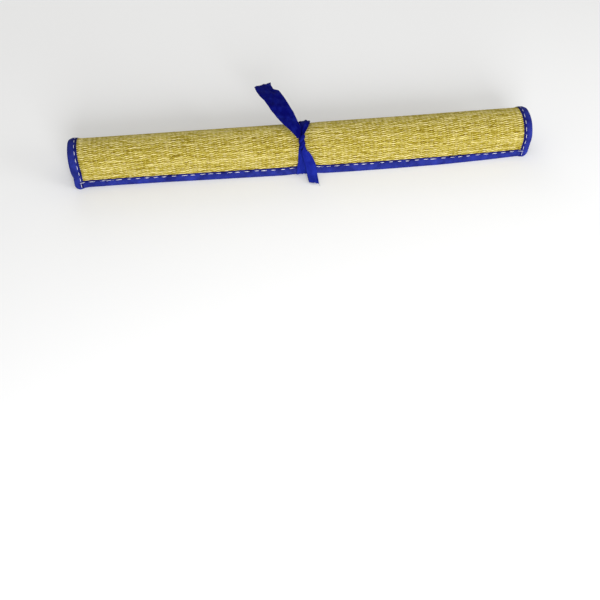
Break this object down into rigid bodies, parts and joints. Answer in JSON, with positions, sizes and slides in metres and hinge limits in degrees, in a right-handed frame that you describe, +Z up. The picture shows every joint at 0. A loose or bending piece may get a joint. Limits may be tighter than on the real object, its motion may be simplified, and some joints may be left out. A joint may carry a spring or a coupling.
{
  "type": "rolled beach mat",
  "caption": "Rolled straw beach mat with tape-bound edges, held closed by a knotted tape tie, for lying on sand.",
  "frame": {"origin": "on the floor under the roll's axis, midway along the roll, on the flat underside of the tie", "axes": "+X along the roll to the right, +Y towards the back, away from the hanging loose edge, +Z up"},
  "size_m": [0.6, 0.1233, 0.072],
  "materials": {
    "straw": "dry woven reed",
    "binding": "matte tape",
    "tie": "matte tape"
  },
  "bodies": {
    "root": {"mat_roll": "straw", "end_binding_left": "binding", "end_binding_right": "binding", "edge_binding": "binding", "tie": "tie"}
  },
  "joints": []
}
